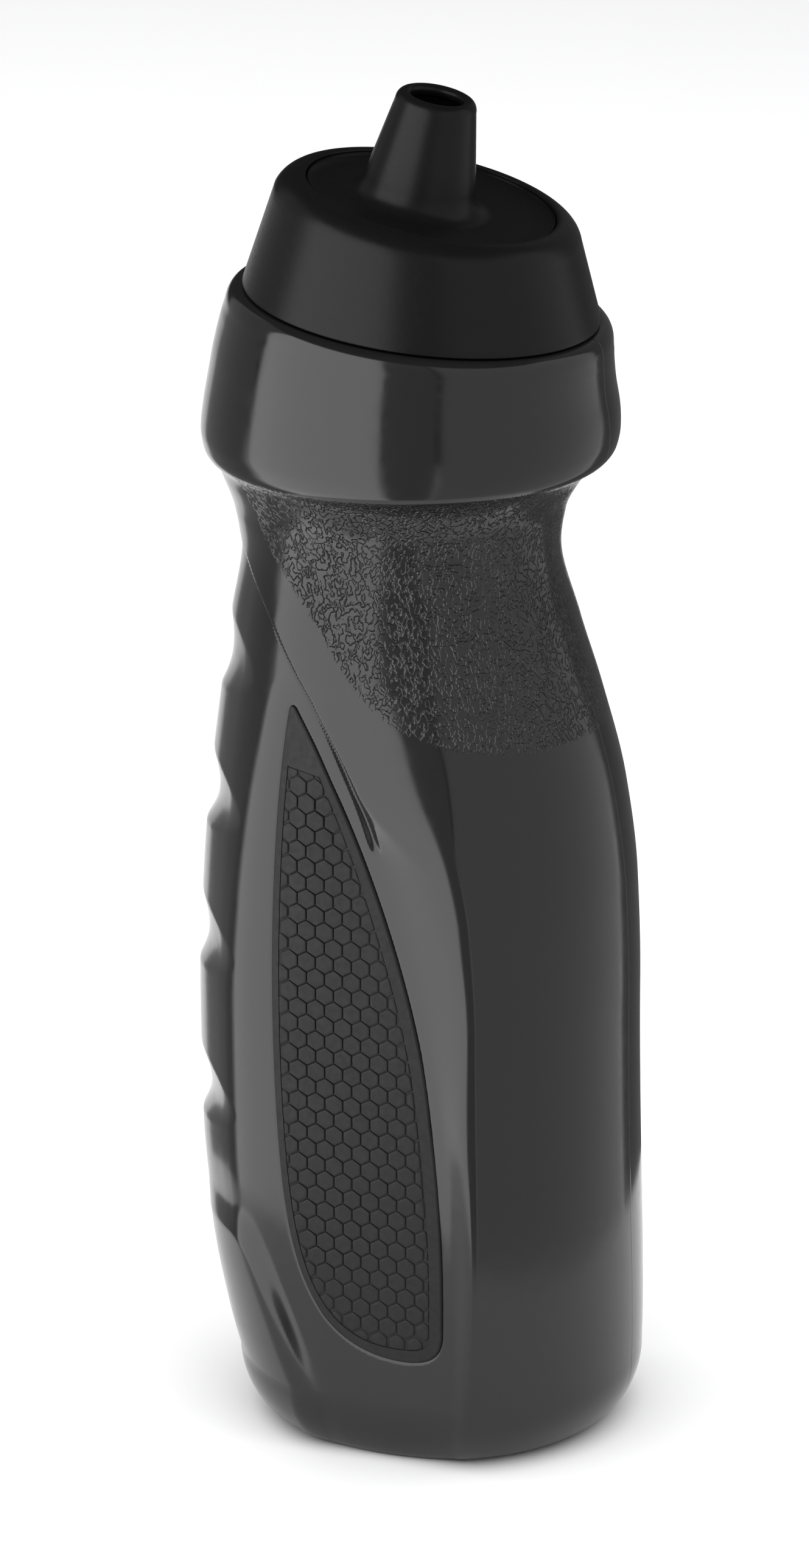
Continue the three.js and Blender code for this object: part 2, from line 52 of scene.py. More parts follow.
# Neck: the axis leans forward through the centre of the seam under the lid
SEAM = np.array(JOINTS["lid_turn"]["pos_m"]) / MM
NECK_AXIS = np.array(JOINTS["lid_turn"]["axis"])
NECK_TILT = math.degrees(math.atan2(NECK_AXIS[0], NECK_AXIS[2]))
DESIGN_SEAM_X = -4.16
CENTRING = SEAM[0] - DESIGN_SEAM_X          # the design's axis lies this far in front of the frame's origin

# [height, centre x, radius] of the round section
SECTIONS = np.array([
    [8, 0.4, 36.2], [20, -1.2, 37.9], [35, -2.8, 39.2], [55, -4.1, 39.9], [82, -4.5, 39.9],
    [103, -4.4, 39.1], [120, -4.8, 37.3], [137, -6.0, 34.1], [150, -7.2, 31.2], [164, -8.0, 28.4],
    [171, -8.1, 29.4], [176.5, -7.7, 31.7], [179.8, -6.9, 33.9], [181.2, -6.5, 35.8], [182.8, -6.3, 36.6],
    [185.5, -6.2, 37.0], [196, -5.6, 35.7], [203, -4.8, 34.6],
])
WALL = 1.2
SKIN_CLEAR = 0.02                            # keeps the fine skin inside the faceted CAD solid's box
BODY_TOP = 203                               # height at which the side meets the shoulder
FLOOR = WALL + 0.4                           # height of the contact ring inside the wall
BASE_X = 0
HEEL_HEIGHT = 12
HEEL_STEPS = 17
CONTACT_OUTER = 27.5
CONTACT_INNER = 22
# [radius, height] round the inner edge of the contact ring
CONTACT_EDGE = [(21.3, 0.9), (21.6, 0.45), (22.1, 0.12), (22.9, 0)]
PUSH_UP_TOP = 4                              # height of the dome under the base
PUSH_UP_REACH = 24                           # radius at which the dome's curve would meet the floor

# Grip panel: a flat recess on each side that runs round the back under the fingers
PANEL_FLAT = 32                              # distance of the flat from the middle plane
PANEL_RIM = 1.4                              # how far the recess lies below its rim
PANEL_DEPTH = 1.3                            # how far the finger area lies below the shoulder
COLLAR_CLEAR = 12                            # the flats spread by this much before they reach the collar
LOWEST_SINE = 0.05                           # keeps the flats' radius finite at the front and back
BACK_BLEND = 6                               # rounding of the recess's edges at the back and low down
LEDGE_SLOPE_BACK = 0.5
LEDGE_SLOPE_FRONT = 0.22
LEDGE_LOW = 8
LEDGE_RISE = 36
LEDGE_SOFT_FRONT = 7                         # rounding of the ledge's crease, less towards the back
LEDGE_SOFT_LOSS = 5.5
# Front foot of the recess: a curve beside the pad, and the step line above it
FOOT_LOW = 30
FOOT_LOW_X = 13.2
FOOT_CURVE = 2.17
STEP_END = 118.7
STEP_END_X = -2.6
STEP_LEAN = 0.314
STEP_BEND = 0.0079
STEP_LINE_DEPTH = 0.75                       # fine valley along the step line
# Width of the recess's front wall: a cove that widens upwards, and a step that narrows
COVE_WIDTH = 3.9
COVE_WIDENING = 6.4
STEP_WIDTH = 2.0
STEP_NARROWING = 1.2

# Finger grooves on the back: [height, depth]
GROOVES = [[143, 1.4], [117.5, 2.1], [91, 1.8], [62, 2.1]]
GROOVE_ABOVE = 8.5                           # reach above and below the middle
GROOVE_BELOW = 6.5
GROOVE_HALF_SPAN = 50                        # degrees each way from the middle of the back
GROOVE_POWER = 1.15

NECK_RADIUS = 23
NECK_BORE = 20.8
NECK_TOP = 10.5
LEDGE_HEIGHT = -0.3
LEDGE_THICKNESS = 1.7
LEDGE_UNDER = LEDGE_HEIGHT - LEDGE_THICKNESS
# [radius, height] in the neck's frame: shoulder and ledge, the neck up, over and down its bore, then inside
NECK_PROFILE = [
    (34.5, -4.6), (34.35, -4.0), (34.25, -3.2), (34.1, -2.4), (33.85, -1.7), (33.5, -1.1), (33.05, -0.65),
    (32.5, -0.38), (31.9, LEDGE_HEIGHT), (28, LEDGE_HEIGHT), (24.3, LEDGE_HEIGHT), (23.6, -0.15),
    (23.15, 0.2), (NECK_RADIUS, 0.8), (NECK_RADIUS, 5), (NECK_RADIUS, 9.6), (22.85, 10.1), (22.5, 10.4),
    (22.0, NECK_TOP), (21.5, NECK_TOP), (21.05, 10.35), (NECK_BORE, 10.0), (NECK_BORE, 4), (NECK_BORE, -1.2),
    (21.2, -1.75), (22, LEDGE_UNDER), (27, LEDGE_UNDER), (30, -2.5), (31.8, -3.8), (32.6, -5.6),
]

# Thread, right-handed and single-start
LEAD = 4.5
THREAD_START = 2.4
THREAD_TURNS = 1.33
THREAD_ROOT_WIDTH = 2.3
THREAD_CREST = 24.4
LID_THREAD_CREST = 23.5
LID_THREAD_TURN = 0.36                       # where the lid's ridge starts
THREAD_STEPS_PER_TURN = 120
THREAD_TAPER_STEPS = 14
THREAD_END = 0.12                            # share of the ridge's height left at its ends
# (share of the ridge's height, place across its root width) over a rounded ridge
RIDGE_PROFILE = [
    (0, -0.5), (0.35, -0.34), (0.85, -0.22), (1, -0.1), (1, 0.1), (0.85, 0.22), (0.35, 0.34), (0, 0.5),
]

# Lid, around the neck's axis with the seam at height 0; its rim leans further forward
LID_SEAM_RADIUS = 31.7
LID_BORE = 24.8
INNER_SKIRT = 26.2
INNER_SKIRT_FOOT = 1
SKIRT_GAP_TOP = 11
LID_CEILING = 12.3
RIM_OFFSET = (-0.35, 0, 19.13)
RIM_TILT = 4.86
RIM_RADIUS = 22.6
LID_SHOULDER = 5
INSERT_POCKET = 22.3
INSERT_POCKET_FLOOR = -3.4
LID_PORT = 16.5

# Spout insert: a dished disc with an off-centre nozzle
DISH_RADIUS = 22
DISH_EDGE = -0.35
DISH_FLOOR = -1.8
DISH_UNDERSIDE = -3.1
DISH_BLEND = 4.5
SPOUT_X = -2.6
SPOUT_TOP = 17.9
SPOUT_FOOT_RADIUS = 10.6
SPOUT_TIP_RADIUS = 7.2
SPOUT_HOLE = 4.7
SPOUT_COLLAR = 10.8
SPOUT_COLLAR_FOOT = -6.2
VALVE_SEAT = -2.5
VALVE_SEAT_RADIUS = 9.3

# Rings inside the lid: the gasket in the neck's frame, the valve and its retainer in the spout's
GASKET_INNER = 20.9
GASKET_OUTER = 24.3
GASKET_BOTTOM = 10.8
GASKET_TOP = 12.0
VALVE_INNER = 5.6
VALVE_OUTER = 9.0
VALVE_BOTTOM = -4.0
VALVE_TOP = -2.8
RETAINER_INNER = 6.6
RETAINER_BOTTOM = -5.9
RETAINER_TOP = -4.3

# Grip pads
PAD_PROUD = 0.3
# [distance in from the outline, lift off the surface] across the pad's rounded edge
PAD_EDGE = [[0.2, -1.2], [0.2, -0.3], [0.23, 0.05], [0.35, 0.22], [0.6, PAD_PROUD]]
PAD_BED = 1.5                                # how far the body sinks beneath the pads
PAD_BED_EDGE = [-0.1, 1.6]                   # distances in from the outline over which it sinks
PAD_LEAST_Y = 15                             # the pads lie further than this from the middle plane
PAD_BEARINGS = [25, 155]                     # degrees from the front between which they lie
# Leaf outline seen from the side, (x, height), as cubic curves
PAD_START = (-18.4, 140.2)
PAD_CURVES = [
    [(-20.2, 128), (-21.1, 106), (-21.1, 92)],
    [(-21.1, 74), (-20.2, 50), (-17, 39)],
    [(-14.2, 29), (-8.5, 21.2), (2, 20.3)],
    [(8.5, 19.8), (11.7, 21.5), (11.7, 26.5)],
    [(11.8, 40), (11.2, 54), (9.4, 66.5)],
    [(7.8, 89.5), (-5.6, 126.5), (-16.4, 140.4)],
    [(-17.1, 141.5), (-18.2, 141.5), PAD_START],
]

# Honeycomb on the pads
HEX_PITCH = 3.4
HEX_GROOVE = 0.24
HEX_DEPTH = 0.22
HEX_TOP = 131.5
HEX_BORDER_BACK = 1.6
HEX_BORDER_FRONT = 2.6
HEX_SHIFT = [0.9, 0.6]                       # cells by which the first one starts outside the border
# [distance in from the cell's edge, lift above the pad's face] across a cell's softened edge
HEX_PROFILE = [[0.09, -HEX_DEPTH], [0.11, -0.07], [0.18, -0.012], [0.45, 0.0]]

# Leather grain round the waist: [degrees from the front, height of the lower edge]
GRAIN_EDGE = np.array([
    [0, 133.5], [38, 133.8], [62, 137], [80, 142.5], [99, 155], [112, 162], [125, 170], [131, 184],
])
GRAIN_BACK = 131                             # degrees from the front at which the grain ends
NO_GRAIN = 400                               # a lower edge far above the bottle
GRAIN_TOP = 181.0

# Resolution
BODY_SEGMENTS = 640
BODY_ROW = 0.5
ROUND_SEGMENTS = 192


# ---------------------------------------------------------------- mesh helpers

def mesh_object(name, points, faces, material, smooth=True, attributes=()):
    """A mesh from points in millimetres, measured from the design's axis."""
    points = np.asarray(points, dtype=float) + (CENTRING, 0, 0)
    mesh = bpy.data.meshes.new(name)
    mesh.from_pydata((points * MM).tolist(), [], faces)
    mesh.update()
    mesh.polygons.foreach_set("use_smooth", [smooth] * len(mesh.polygons))
    for label, values in attributes:
        layer = mesh.attributes.new(label, "FLOAT", "POINT")
        layer.data.foreach_set("value", np.asarray(values, dtype=np.float32))
    mesh.materials.append(material)
    piece = bpy.data.objects.new(name, mesh)
    bpy.context.scene.collection.objects.link(piece)
    return piece


def grid_faces(rows, count, closed=False):
    """Quads between rings of points; closed also joins the last ring to the first."""
    i = np.arange(rows if closed else rows - 1)[:, None]
    j = np.arange(count)[None, :]
    low = i * count
    high = ((i + 1) % rows) * count
    after = (j + 1) % count
    quads = np.stack([low + j, low + after, high + after, high + j], axis=-1)
    return quads.reshape(-1, 4).tolist()


def tilted(points, origin, degrees):
    """Points of a local frame that leans forward, in the design's frame."""
    t = math.radians(degrees)
    x, y, z = points[..., 0], points[..., 1], points[..., 2]
    turned = np.stack([x * math.cos(t) + z * math.sin(t), y, z * math.cos(t) - x * math.sin(t)], axis=-1)
    return turned + np.asarray(origin, dtype=float)


NECK_ORIGIN = np.array([DESIGN_SEAM_X, 0, SEAM[2]])
RIM_ORIGIN = tilted(np.array(RIM_OFFSET, dtype=float), NECK_ORIGIN, NECK_TILT)
SPOUT_ORIGIN = tilted(np.array([SPOUT_X, 0, 0], dtype=float), RIM_ORIGIN, NECK_TILT + RIM_TILT)


def circle(radius, height, count):
    angle = np.arange(count) / count * 2 * math.pi
    return np.stack([radius * np.cos(angle), radius * np.sin(angle), np.full(count, float(height))], axis=-1)


def neck_ring(radius, height, count=ROUND_SEGMENTS):
    return tilted(circle(radius, height, count), NECK_ORIGIN, NECK_TILT)


def rim_ring(radius, height, count=ROUND_SEGMENTS):
    return tilted(circle(radius, height, count), RIM_ORIGIN, NECK_TILT + RIM_TILT)


def spout_ring(radius, height, count=ROUND_SEGMENTS):
    return tilted(circle(radius, height, count), SPOUT_ORIGIN, NECK_TILT + RIM_TILT)


def base_ring(radius, height, count):
    return circle(radius, height, count) + (BASE_X, 0, 0)


def rounded(outline, corner_radius, steps=5):
    """A closed outline of (radius, height) corners with each corner rounded."""
    outline = [np.array(p, dtype=float) for p in outline]
    result = []
    for k, corner in enumerate(outline):
        before = outline[k - 1] - corner
        after = outline[(k + 1) % len(outline)] - corner
        reach = min(corner_radius, 0.45 * np.linalg.norm(before), 0.45 * np.linalg.norm(after))
        start = corner + before / np.linalg.norm(before) * reach
        end = corner + after / np.linalg.norm(after) * reach
        for t in np.linspace(0, 1, steps):
            result.append(start * (1 - t) ** 2 + 2 * corner * t * (1 - t) + end * t ** 2)
    return result


def helix_ridge(root, crest, start_height, from_turn, turns):
    """Points and faces of a rounded thread ridge in the neck's frame, tapering away at both ends."""
    steps = int(turns * THREAD_STEPS_PER_TURN)
    points = []
    for i in range(steps + 1):
        turn = from_turn + turns * i / steps
        from_end = min(i, steps - i)
        ease = min(1, THREAD_END + from_end / THREAD_TAPER_STEPS)
        angle = turn * 2 * math.pi
        for rise, across in RIDGE_PROFILE:
            radius = root + (crest - root) * rise * ease
            height = start_height + turn * LEAD + across * THREAD_ROOT_WIDTH
            points.append((radius * math.cos(angle), radius * math.sin(angle), height))
    count = len(RIDGE_PROFILE)
    faces = grid_faces(steps + 1, count)
    faces.append(list(range(count))[::-1])
    faces.append([steps * count + k for k in range(count)])
    if crest < root:
        faces = [face[::-1] for face in faces]
    return tilted(np.array(points), NECK_ORIGIN, NECK_TILT), faces


def joined(parts):
    """Joins (points, faces) lists into one."""
    points, faces = [], []
    for part_points, part_faces in parts:
        first = sum(len(p) for p in points)
        points.append(np.asarray(part_points).reshape(-1, 3))
        faces.extend([[first + k for k in face] for face in part_faces])
    return np.concatenate(points), faces


# ---------------------------------------------------------------- body surface

def smooth_step(start, end, value):
    t = np.clip((value - start) / (end - start), 0, 1)
    return t * t * (3 - 2 * t)


def smooth_min(a, b, blend):
    near = np.maximum(blend - np.abs(a - b), 0) / blend
    return np.minimum(a, b) - near * near * blend / 4


def through(table, value, column):
    """Monotone cubic through one column of a table, against its first column."""
    x, y = table[:, 0], table[:, column]
    slope = np.diff(y) / np.diff(x)
    tangent = np.concatenate([slope[:1], np.zeros(len(x) - 2), slope[-1:]])
    same = slope[:-1] * slope[1:] > 0
    both = slope[:-1] + slope[1:]
    tangent[1:-1][same] = (2 * slope[:-1] * slope[1:])[same] / both[same]
    i = np.clip(np.searchsorted(x, value, side="left") - 1, 0, len(x) - 2)
    width = x[i + 1] - x[i]
    t = (value - x[i]) / width
    rise = y[i + 1] - y[i]
    bend = (tangent[i] * width - rise) * (1 - t) - (tangent[i + 1] * width - rise) * t
    return y[i] + rise * t + t * (1 - t) * bend


def recess_foot(height):
    """Where the recess's flat ends towards the front."""
    up = np.maximum(height - STEP_END, 0)
    line = STEP_END_X - STEP_LEAN * up - STEP_BEND * up * up
    t = np.clip((height - FOOT_LOW) / (STEP_END - FOOT_LOW), 0, 1)
    beside_pad = FOOT_LOW_X + (STEP_END_X - FOOT_LOW_X) * t ** FOOT_CURVE
    return np.where(height > STEP_END, line, beside_pad)


def recess_wall(height):
    """Width over which the recess climbs to its rim."""
    cove = COVE_WIDTH + COVE_WIDENING * smooth_step(60, 100, height)
    step = STEP_WIDTH - STEP_NARROWING * np.clip((height - 120) / 35, 0, 1)
    t = smooth_step(112, 128, height)
    return cove * (1 - t) + step * t


def bezier(start, first, second, end, steps):
    t = np.linspace(0, 1, steps, endpoint=False)[:, None]
    start, first, second, end = (np.array(p, dtype=float) for p in (start, first, second, end))
    return start * (1 - t) ** 3 + 3 * first * t * (1 - t) ** 2 + 3 * second * t ** 2 * (1 - t) + end * t ** 3


def pad_outline(steps=26):
    points, start = [], PAD_START
    for first, second, end in PAD_CURVES:
        points.append(bezier(start, first, second, end, steps))
        start = end
    return np.concatenate(points)


PAD_OUTLINE = pad_outline()


def edge_distances(points, outline):
    """How far each point lies inside each edge of a convex outline."""
    along = np.roll(outline, -1, axis=0) - outline
    along /= np.linalg.norm(along, axis=1)[:, None]
    inward = np.stack([-along[:, 1], along[:, 0]], axis=-1)
    return np.asarray(points) @ inward.T - np.sum(outline * inward, axis=1)


def turn_from_front(angle):
    return np.degrees(np.abs(np.arctan2(np.sin(angle), np.cos(angle))))


def below_ledge(x, height):
    """How far a point lies below the ledge under the recess, eased to zero above it."""
    crease = LEDGE_LOW + LEDGE_RISE * smooth_step(-4, -31, x)
    soft = LEDGE_SOFT_FRONT - LEDGE_SOFT_LOSS * smooth_step(-4, -20, x)
    return (crease - height + np.hypot(crease - height, soft)) / 2


def edge_blend(turn, height, below):
    """How softly the flats run into the round section."""
    sharp = 1.0 + 3 * smooth_step(115, 137, height)
    behind = smooth_step(95, 115, turn)
    return np.maximum(sharp * (1 - behind) + BACK_BLEND * behind, BACK_BLEND * smooth_step(3, 9, below))


def step_line(x, height):
    """Depth of the fine valley along the step line, which narrows upwards and fades at both ends."""
    width = 0.55 + 0.45 * smooth_step(155, 122, height)
    crest = np.maximum(0, 1 - ((x - recess_foot(height) - width) / width) ** 2)
    return STEP_LINE_DEPTH * crest * smooth_step(115.5, 119, height) * smooth_step(172, 160, height)


def finger_groove(turn, height, middle, depth):
    across = (180 - turn) / GROOVE_HALF_SPAN
    along = (height - middle) / np.where(height > middle, GROOVE_ABOVE, GROOVE_BELOW)
    return depth * np.maximum(0, 1 - across * across - along * along) ** GROOVE_POWER


def body_radius(angle, height):
    """Radius of the outer surface about its section centre."""
    angle, height = np.broadcast_arrays(np.asarray(angle, dtype=float), np.asarray(height, dtype=float))
    section = through(SECTIONS, height, 2)
    centre = through(SECTIONS, height, 1)
    turn = turn_from_front(angle)
    sine = np.maximum(np.sin(np.radians(turn)), LOWEST_SINE)
    x = centre + np.minimum(section, PANEL_FLAT / sine) * np.cos(np.radians(turn))
    wall = np.clip((x - recess_foot(height)) / recess_wall(height), 0, 1)
    crisp = smooth_step(121, 133, height)
    inside = 1 - wall * wall * (crisp + (3 - 2 * wall) * (1 - crisp))
    below = below_ledge(x, height)
    clear = COLLAR_CLEAR * smooth_step(142, 165, height)
    slope = LEDGE_SLOPE_BACK + (LEDGE_SLOPE_FRONT - LEDGE_SLOPE_BACK) * smooth_step(-24, -6, x)
    flat = PANEL_FLAT + PANEL_RIM * (1 - inside) + slope * below + clear
    back = smooth_step(170, 140, turn)
    finger = PANEL_DEPTH * inside * np.clip(1 - below / 5, 0, 1) * back
    radius = smooth_min(section - finger, flat / sine, edge_blend(turn, height, below))
    radius = radius - step_line(x, height)
    for middle, depth in GROOVES:
        radius = radius - finger_groove(turn, height, middle, depth)
    return radius


def body_points(angle, height, offset=0.0):
    """Points of the outer surface, offset along the radius; the sections lean towards the neck's tilt."""
    radius = body_radius(angle, height) - SKIN_CLEAR + offset
    tilt = np.radians(NECK_TILT) * smooth_step(187, 203, height)
    across = radius * np.cos(angle)
    x = through(SECTIONS, height, 1) + across * np.cos(tilt)
    y = radius * np.sin(angle)
    z = height - across * np.sin(tilt)
    return np.stack(np.broadcast_arrays(x, y, z), axis=-1)


def heel_rings(angle, contact, floor, offset):
    """Rings from the flat contact ring up to the section at the top of the heel."""
    top = body_radius(angle, HEEL_HEIGHT) + offset
    centre = through(SECTIONS, np.array(float(HEEL_HEIGHT)), 1)
    rings = []
    for t in np.linspace(0, math.pi / 2, HEEL_STEPS + 1)[:-1]:
        out = math.sin(t)
        radius = contact + (top - contact) * out
        height = HEEL_HEIGHT + (floor - HEEL_HEIGHT) * math.cos(t)
        x = BASE_X + (centre - BASE_X) * out + radius * np.cos(angle)
        rings.append(np.stack([x, radius * np.sin(angle), np.full(len(angle), height)], axis=-1))
    return rings


def pad_bed(angle, height):
    """How far the body sinks beneath the grip pads."""
    points = body_points(angle, height)
    flat = points[:, [0, 2]]
    near = np.abs(points[:, 1]) > PAD_LEAST_Y
    bed = np.zeros(len(flat))
    bed[near] = smooth_step(*PAD_BED_EDGE, edge_distances(flat[near], PAD_OUTLINE).min(axis=1))
    return bed * PAD_BED


def grain_mask(angle, height):
    """How much leather grain a point carries, from 0 to 1."""
    turn = turn_from_front(angle)
    edge = through(GRAIN_EDGE, np.minimum(turn, GRAIN_BACK), 1)
    edge = np.where(turn > GRAIN_BACK, NO_GRAIN, edge)
    return smooth_step(-0.6, 0.9, height - edge) * smooth_step(0.3, -0.5, height - GRAIN_TOP)


def push_up_ring(radius, floor):
    """A ring of the dome under the base, for a floor at the given height."""
    return base_ring(radius, floor + PUSH_UP_TOP * (1 - (radius / PUSH_UP_REACH) ** 4), BODY_SEGMENTS)


def underside_rings(angle):
    rings = [push_up_ring(radius, 0) for radius in np.linspace(1, CONTACT_INNER - 1.2, 12)]
    rings += [base_ring(radius, height, BODY_SEGMENTS) for radius, height in CONTACT_EDGE]
    return rings + heel_rings(angle, CONTACT_OUTER, 0, 0)


def side_rings(angle, heights):
    """Rings of the side, sunk beneath the grip pads."""
    pad_top = PAD_OUTLINE[:, 1].max() + 1
    beds = [pad_bed(angle, height) if height < pad_top else 0 for height in heights]
    return [body_points(angle, height, -bed) for height, bed in zip(heights, beds)]


def inside_rings(angle):
    """The inside of the wall, from the shoulder down to the middle of the base."""
    rings = [body_points(angle, height, -WALL) for height in np.arange(198, HEEL_HEIGHT, -3)]
    rings += heel_rings(angle, CONTACT_OUTER - 2, FLOOR, -WALL)[::-1]
    return rings + [push_up_ring(radius, FLOOR) for radius in np.linspace(CONTACT_INNER - 2, 1, 8)]


def bottle_body(material):
    """One skin, from the middle of the base up the outside, over the neck and back down the inside."""
    count = BODY_SEGMENTS
    angle = np.arange(count) / count * 2 * math.pi
    heights = np.arange(HEEL_HEIGHT, BODY_TOP, BODY_ROW)
    underside = underside_rings(angle)
    neck = [neck_ring(radius, height, count) for radius, height in NECK_PROFILE]
    rings = underside + side_rings(angle, heights) + neck + inside_rings(angle)
    points = np.concatenate(rings)
    faces = grid_faces(len(rings), count)
    faces.append(list(range(count))[::-1])
    faces.append(list(range(len(points) - count, len(points))))
    thread = helix_ridge(NECK_RADIUS - 0.3, THREAD_CREST, THREAD_START, 0, THREAD_TURNS)
    points, faces = joined([(points, faces), thread])
    first = len(underside) * count
    grain = np.zeros(len(points))
    grain[first:first + len(heights) * count] = np.concatenate([grain_mask(angle, z) for z in heights])
    return mesh_object("body_skin", points, faces, material, attributes=[("grain", grain)])


# ---------------------------------------------------------------- grip pads

def inset(outline, amount):
    """A convex outline moved inwards by an amount for each point."""
    along = np.roll(outline, -1, axis=0) - np.roll(outline, 1, axis=0)
    along /= np.linalg.norm(along, axis=1)[:, None]
    inward = np.stack([-along[:, 1], along[:, 0]], axis=-1)
    return outline + inward * np.broadcast_to(amount, len(outline))[:, None]


def clipped(polygon, outline):
    """The part of a polygon that lies inside a convex, counter-clockwise outline."""
    result = [np.array(p) for p in polygon]
    for k in range(len(outline)):
        a, b = outline[k], outline[(k + 1) % len(outline)]
        edge = b - a
        if not result:
            return []
        kept = []
        sides = [edge[0] * (p[1] - a[1]) - edge[1] * (p[0] - a[0]) for p in result]
        for i, p in enumerate(result):
            q, s, t = result[(i + 1) % len(result)], sides[i], sides[(i + 1) % len(result)]
            if s >= 0:
                kept.append(p)
            if s * t < 0:
                kept.append(p + (q - p) * s / (s - t))
        result = kept
    return result


def on_side(flat_points, lift):
    """Points given by (x, height) seen from the side, laid on the body's left surface and lifted off it."""
    flat_points = np.asarray(flat_points, dtype=float)
    x, height = flat_points[:, 0], flat_points[:, 1]
    low, high = (np.full(len(x), math.radians(bearing)) for bearing in PAD_BEARINGS)
    centre = through(SECTIONS, height, 1)
    for _ in range(30):
        middle = (low + high) / 2
        beyond = centre + body_radius(middle, height) * np.cos(middle) > x
        low, high = np.where(beyond, middle, low), np.where(beyond, high, middle)
    step = 0.3
    across = body_points(low + math.radians(step), height) - body_points(low - math.radians(step), height)
    upward = body_points(low, height + step) - body_points(low, height - step)
    normal = np.cross(across, upward)
    normal /= np.linalg.norm(normal, axis=1)[:, None]
    return body_points(low, height) + normal * np.asarray(lift, dtype=float)[:, None]


def honeycomb(border):
    """Point-up hexagons, clipped to a convex border."""
    corner = HEX_PITCH / math.sqrt(3)
    lowest, highest = border.min(axis=0), border.max(axis=0)
    rows = int((highest[1] - lowest[1]) / (1.5 * corner)) + 3
    columns = int((highest[0] - lowest[0]) / HEX_PITCH) + 3
    spokes = np.radians(30 + 60 * np.arange(6))
    hexagon = corner * np.stack([np.cos(spokes), np.sin(spokes)], axis=-1)
    cells = []
    for row in range(rows):
        for column in range(columns):
            across = column - HEX_SHIFT[0] + 0.5 * (row % 2)
            middle = lowest + (HEX_PITCH * across, 1.5 * corner * (row - HEX_SHIFT[1]))
            cell = hexagon + middle
            inside = edge_distances(cell, border)
            if inside.max(axis=0).min() <= 0:
                continue
            if inside.min() < 0:
                cell = clipped(cell, border)
            if len(cell) > 2:
                cells.append(np.array(cell))
    return cells


def shrunk(polygon, amount):
    """A convex polygon scaled towards its middle so that its nearest edge moves in by the amount."""
    middle = polygon.mean(axis=0)
    reach = edge_distances([middle], polygon).min()
    return middle + (polygon - middle) * max(0.05, 1 - amount / reach)


def triangulated(outline, holes=()):
    """Flat points and triangles of the area between an outline and any holes."""
    points, loops = outline.tolist(), [(k, (k + 1) % len(outline)) for k in range(len(outline))]
    for hole in holes:
        first = len(points)
        points += hole.tolist()
        loops += [(first + k, first + (k + 1) % len(hole)) for k in range(len(hole))]
    flat, _, faces, _, _, _ = delaunay_2d_cdt([Vector(p) for p in points], loops, [], 1, 1e-5)
    flat = np.array([tuple(p) for p in flat])
    kept = []
    for face in faces:
        middle = flat[list(face)].mean(axis=0)
        if all(edge_distances([middle], hole).min() < 0 for hole in holes):
            kept.append(list(face))
    return flat, kept


class Relief:
    """Collects flat points, each with its lift off the surface, and the faces between them."""

    def __init__(self):
        self.flat, self.lift, self.faces, self.total = [], [], [], 0

    def add(self, flat, lift, faces):
        self.flat.append(np.asarray(flat, dtype=float))
        self.lift.append(np.full(len(flat), lift, dtype=float))
        self.faces.extend([[self.total + k for k in face] for face in faces])
        self.total += len(flat)

    def add_rings(self, rings):
        """Rings of (outline, lift), all with the same number of points."""
        count = len(rings[0][0])
        flat = np.concatenate([ring for ring, _ in rings])
        lift = np.repeat([lift for _, lift in rings], count)
        self.add(flat, lift, grid_faces(len(rings), count))


def pad_relief():
    """A pad's surface as flat points with a lift: rounded edge, plain border, honeycomb."""
    relief = Relief()
    outline = PAD_OUTLINE
    relief.add_rings([(inset(outline, inward), lift) for inward, lift in PAD_EDGE])
    front = smooth_step(-14, 6, outline[:, 0])
    border = inset(outline, HEX_BORDER_BACK + (HEX_BORDER_FRONT - HEX_BORDER_BACK) * front)
    border = border[border[:, 1] < HEX_TOP]
    flat, faces = triangulated(inset(outline, PAD_EDGE[-1][0]), [border])
    relief.add(flat, PAD_PROUD, faces)
    floor = PAD_PROUD - HEX_DEPTH
    relief.add_rings([(border, PAD_PROUD), (border, floor)])
    flat, faces = triangulated(border)
    relief.add(flat, floor, faces)
    for cell in honeycomb(border):
        if edge_distances([cell.mean(axis=0)], cell).min() < HEX_GROOVE:
            continue
        rings = [(shrunk(cell, inward), PAD_PROUD + lift) for inward, lift in HEX_PROFILE]
        relief.add_rings(rings)
        relief.add(rings[-1][0], rings[-1][1], [list(range(len(cell)))])
    return relief


def grip_pads(material):
    """The left pad and its mirror image on the right."""
    relief = pad_relief()
    points = on_side(np.concatenate(relief.flat), np.concatenate(relief.lift))
    right_faces = [face[::-1] for face in relief.faces]
    left = mesh_object("grip_pad_left_skin", points, relief.faces, material)
    right = mesh_object("grip_pad_right_skin", points * (1, -1, 1), right_faces, material)
    return left, right


# ---------------------------------------------------------------- lid

